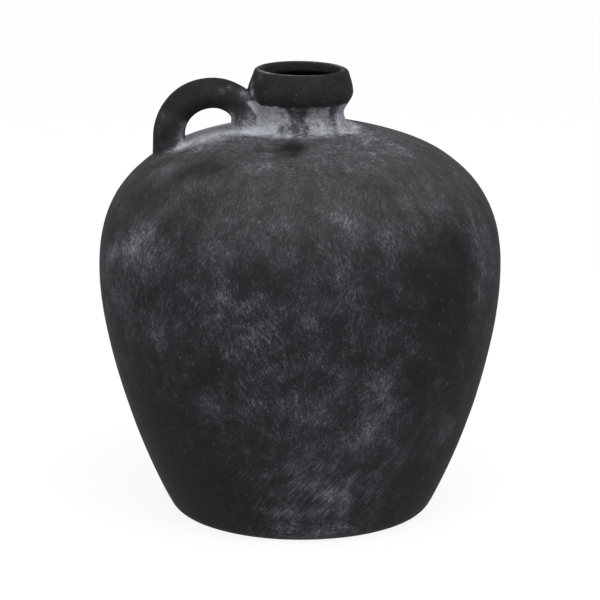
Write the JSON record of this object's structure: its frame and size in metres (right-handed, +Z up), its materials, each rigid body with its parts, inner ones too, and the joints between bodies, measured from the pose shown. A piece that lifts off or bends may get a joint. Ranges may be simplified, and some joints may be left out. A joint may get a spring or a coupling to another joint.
{
  "type": "handled clay jug",
  "caption": "Round-bellied black-fired clay jug with a narrow collared mouth and one thick loop handle on the shoulder, brushed with pale wash.",
  "frame": {"origin": "centre of the flat standing face, on the axis of the jug", "axes": "+Z up along the axis of the jug, out of its mouth; the handle lies towards -X, in the XZ plane"},
  "size_m": [0.32, 0.32, 0.3587],
  "materials": {
    "brushed_clay": "matt smoke-blackened clay, dry-brushed with uneven pale grey-blue wash",
    "dark_clay": "matt smoke-blackened clay, nearly bare of wash",
    "washed_clay": "matt smoke-blackened clay under a heavy deposit of pale wash"
  },
  "bodies": {
    "root": {"lower_bowl": "brushed_clay", "belly_course": "brushed_clay", "shoulder_course": "brushed_clay", "neck_coil": "washed_clay", "rim_collar": "dark_clay", "handle": "dark_clay", "handle_foot_luting": "washed_clay", "handle_neck_luting": "washed_clay"}
  },
  "joints": []
}
